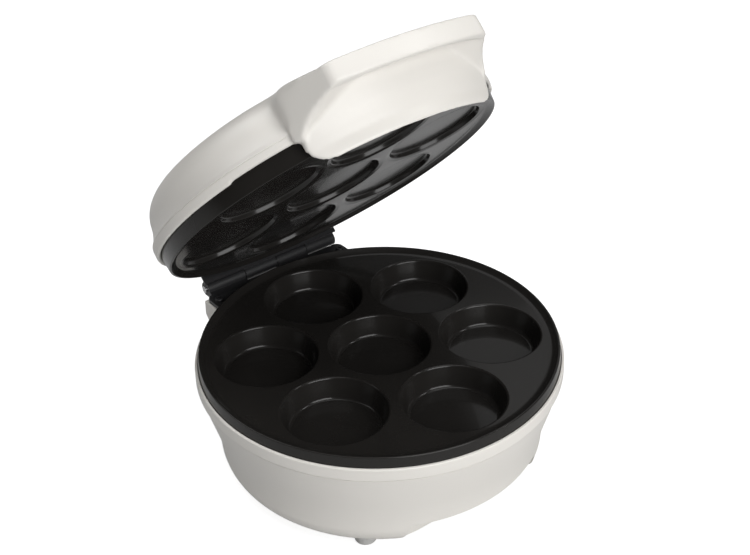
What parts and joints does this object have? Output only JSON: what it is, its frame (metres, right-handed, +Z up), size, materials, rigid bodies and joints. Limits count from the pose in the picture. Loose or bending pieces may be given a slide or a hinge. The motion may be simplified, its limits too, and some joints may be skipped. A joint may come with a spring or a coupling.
{
  "type": "cupcake maker",
  "caption": "Round countertop cupcake maker with a hinged lid, cooking plates with round wells in lid and base, and a front handle.",
  "frame": {"origin": "on the table under the centre of the lower cooking plate", "axes": "+Z up, +Y towards the hinge at the rear, -Y towards the user, +X to the user's right; at rest the lid is open by 47.5 degrees, as in the picture"},
  "size_m": [0.2354, 0.262, 0.3118],
  "materials": {
    "white_shell": "glossy warm white",
    "nonstick_plate": "die-cast, coated glossy black",
    "black_steel": "satin black",
    "black_screw": "black oxide",
    "plain_steel": "zinc plated",
    "reflector_sheet": "aluminised sheet",
    "element_tube": "oxidised tube",
    "switch_body": "moulded black",
    "fuse_sleeve": "woven sleeve",
    "foot_plastic": "light grey",
    "bushing_plastic": "white, matt",
    "ceramic": "glazed ceramic",
    "red_lens": "clear red",
    "green_lens": "clear green",
    "neon_glass": "clear"
  },
  "bodies": {
    "base": {"base_housing": "white_shell", "base_plate_screws": "plain_steel", "cord_bushing": "bushing_plastic", "feet": "foot_plastic", "foot_screws": "plain_steel", "hinge_base_bracket": "black_steel", "hinge_base_screws": "black_screw", "hinge_pin": "plain_steel", "lower_cooking_plate": "nonstick_plate", "lower_heat_reflector": "reflector_sheet", "lower_heating_element": "element_tube", "lower_thermal_fuse": "fuse_sleeve", "lower_thermostat": "switch_body", "terminal_block": "ceramic"},
    "lid": {"lid_housing": "white_shell", "upper_cooking_plate": "nonstick_plate", "hinge_lid_leaf": "black_steel", "hinge_lid_screws": "black_screw", "upper_plate_screws": "plain_steel", "upper_mounting_strap": "plain_steel", "upper_heat_reflector": "reflector_sheet", "upper_heating_element": "element_tube", "upper_thermostat": "switch_body", "upper_thermal_fuse": "fuse_sleeve", "power_lens": "red_lens", "ready_lens": "green_lens", "indicator_lamps": "neon_glass"}
  },
  "joints": [
    {"name": "lid_hinge", "type": "hinge", "parent": "base", "child": "lid", "pos_m": [0, 0.125, 0.0862], "axis": [-1, 0, 0], "range_deg": [-47.5, 50]}
  ]
}
